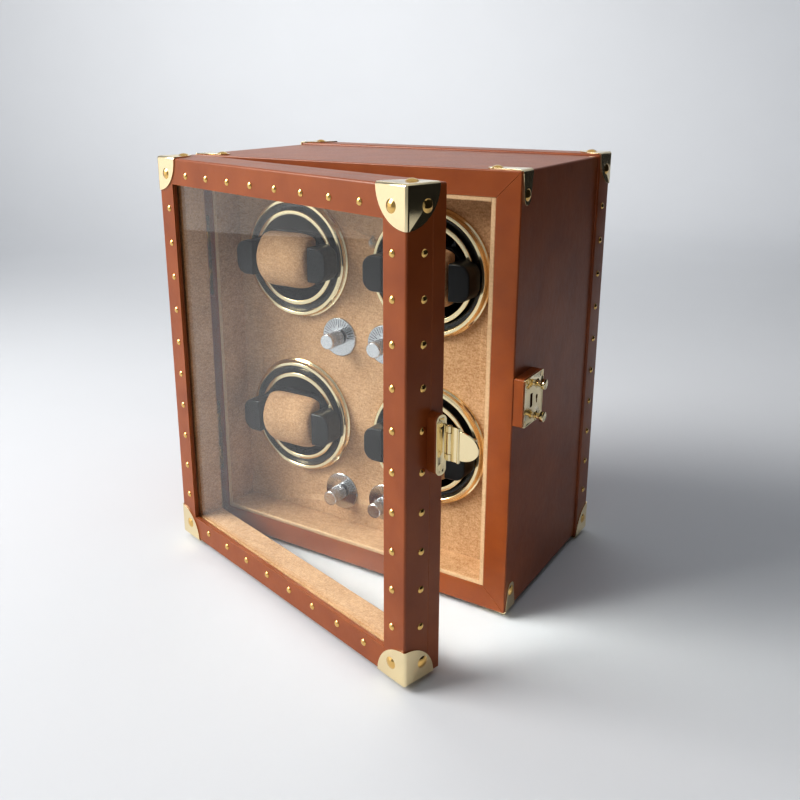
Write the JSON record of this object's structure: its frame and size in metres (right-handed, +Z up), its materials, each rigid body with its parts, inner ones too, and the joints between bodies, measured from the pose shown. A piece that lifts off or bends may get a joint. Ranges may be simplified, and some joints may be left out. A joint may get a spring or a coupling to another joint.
{
  "type": "watch winder",
  "caption": "Leather-covered watch winder cabinet with a glazed hinged door, turning cups with pull-out cuffs, control knobs, and a lock and hasp on its side.",
  "frame": {"origin": "middle of the closed case's width and depth, on the surface that it stands on", "axes": "+X to the right as seen from the front, +Y to the rear, +Z up"},
  "size_m": [0.318, 0.2847, 0.3394],
  "materials": {
    "leather_board": "board covered in smooth brown leather",
    "leather": "smooth brown leather",
    "suede_board": "board covered in tan suede",
    "gilt_brass": "polished",
    "felt": "pressed felt",
    "circuit_board": "solder mask",
    "black_plastic": "glossy",
    "clear_acrylic": "faceted and polished",
    "steel": "plain",
    "polished_steel": "polished",
    "glass": "clear float glass",
    "black_cloth": "matt black covering",
    "tan_suede": "suede",
    "aluminium": "turned"
  },
  "bodies": {
    "case": {"case_shell": "leather_board", "front_rim": "leather", "recess_liner": "suede_board", "rotor_panel": "suede_board", "back_panel": "leather_board", "rear_band": "leather_board", "case_nails": "gilt_brass", "rear_corner_caps": "gilt_brass", "front_straps": "gilt_brass", "case_rivets": "gilt_brass", "base_pad": "felt", "case_screws": "gilt_brass", "control_board": "circuit_board", "dc_inlet": "black_plastic", "indicator_lens": "clear_acrylic", "lock_body": "leather_board", "lock_plate": "gilt_brass", "rotor_bezels": "gilt_brass", "rotor_wells": "black_plastic", "winder_motors": "steel", "dial_plates": "polished_steel", "potentiometers": "steel", "hinge_leaves_case": "gilt_brass", "hinge_pins": "gilt_brass"},
    "door": {"door_frame": "leather_board", "door_leather": "leather", "door_lining": "suede_board", "door_glass": "glass", "door_nails": "gilt_brass", "door_corner_caps": "gilt_brass", "door_rivets": "gilt_brass", "hinge_leaves_door": "gilt_brass", "door_screws": "gilt_brass", "hasp_block": "leather_board", "hasp_plate": "gilt_brass", "hasp_pin": "gilt_brass"},
    "hasp": {"hasp_flap": "gilt_brass"},
    "upper_post": {"lock_post_upper": "gilt_brass"},
    "lower_post": {"lock_post_lower": "gilt_brass"},
    "bolt": {"lock_bolt": "steel"},
    "rotor_1": {"cup_1": "black_plastic", "cup_ring_1": "gilt_brass"},
    "cuff_1": {"cuff_frame_1": "black_cloth", "cuff_pad_1": "tan_suede"},
    "control_1": {"knob_1": "aluminium"},
    "rotor_2": {"cup_2": "black_plastic", "cup_ring_2": "gilt_brass"},
    "cuff_2": {"cuff_frame_2": "black_cloth", "cuff_pad_2": "tan_suede"},
    "control_2": {"knob_2": "aluminium"},
    "rotor_3": {"cup_3": "black_plastic", "cup_ring_3": "gilt_brass"},
    "cuff_3": {"cuff_frame_3": "black_cloth", "cuff_pad_3": "tan_suede"},
    "control_3": {"knob_3": "aluminium"},
    "rotor_4": {"cup_4": "black_plastic", "cup_ring_4": "gilt_brass"},
    "cuff_4": {"cuff_frame_4": "black_cloth", "cuff_pad_4": "tan_suede"},
    "control_4": {"knob_4": "aluminium"}
  },
  "joints": [
    {"name": "door_hinge", "type": "hinge", "parent": "case", "child": "door", "pos_m": [-0.1489, -0.08495, 0.1702], "axis": [0, 0, -1], "range_deg": [-16, 149]},
    {"name": "hasp_hinge", "type": "hinge", "parent": "door", "child": "hasp", "pos_m": [0.14149, -0.1715, 0.1751], "axis": [0, 0, -1], "range_deg": [-80, 70]},
    {"name": "upper_post_press", "type": "slide", "parent": "case", "child": "upper_post", "axis": [-1, 0, 0], "range_m": [0, 0.002], "stiffness_N_per_m": 400},
    {"name": "lower_post_press", "type": "slide", "parent": "case", "child": "lower_post", "axis": [-1, 0, 0], "range_m": [0, 0.002], "stiffness_N_per_m": 400},
    {"name": "bolt_slide", "type": "slide", "parent": "case", "child": "bolt", "axis": [0, -1, 0], "range_m": [0, 0.0034]},
    {"name": "rotor_1_spin", "type": "hinge", "parent": "case", "child": "rotor_1", "pos_m": [-0.06205, -0.0557, 0.254], "axis": [0, -1, 0], "continuous": true},
    {"name": "cuff_1_pull", "type": "slide", "parent": "rotor_1", "child": "cuff_1", "axis": [0, -1, 0], "range_m": [0, 0.035]},
    {"name": "knob_1_turn", "type": "hinge", "parent": "case", "child": "control_1", "pos_m": [-0.02205, -0.0557, 0.1914], "axis": [0, -1, 0], "range_deg": [-135, 135]},
    {"name": "rotor_2_spin", "type": "hinge", "parent": "case", "child": "rotor_2", "pos_m": [0.06205, -0.0557, 0.254], "axis": [0, -1, 0], "continuous": true},
    {"name": "cuff_2_pull", "type": "slide", "parent": "rotor_2", "child": "cuff_2", "axis": [0, -1, 0], "range_m": [0, 0.035]},
    {"name": "knob_2_turn", "type": "hinge", "parent": "case", "child": "control_2", "pos_m": [0.02205, -0.0557, 0.1914], "axis": [0, -1, 0], "range_deg": [-135, 135]},
    {"name": "rotor_3_spin", "type": "hinge", "parent": "case", "child": "rotor_3", "pos_m": [-0.06205, -0.0557, 0.116], "axis": [0, -1, 0], "continuous": true},
    {"name": "cuff_3_pull", "type": "slide", "parent": "rotor_3", "child": "cuff_3", "axis": [0, -1, 0], "range_m": [0, 0.035]},
    {"name": "knob_3_turn", "type": "hinge", "parent": "case", "child": "control_3", "pos_m": [-0.02205, -0.0557, 0.0534], "axis": [0, -1, 0], "range_deg": [-135, 135]},
    {"name": "rotor_4_spin", "type": "hinge", "parent": "case", "child": "rotor_4", "pos_m": [0.06205, -0.0557, 0.116], "axis": [0, -1, 0], "continuous": true},
    {"name": "cuff_4_pull", "type": "slide", "parent": "rotor_4", "child": "cuff_4", "axis": [0, -1, 0], "range_m": [0, 0.035]},
    {"name": "knob_4_turn", "type": "hinge", "parent": "case", "child": "control_4", "pos_m": [0.02205, -0.0557, 0.0534], "axis": [0, -1, 0], "range_deg": [-135, 135]}
  ]
}
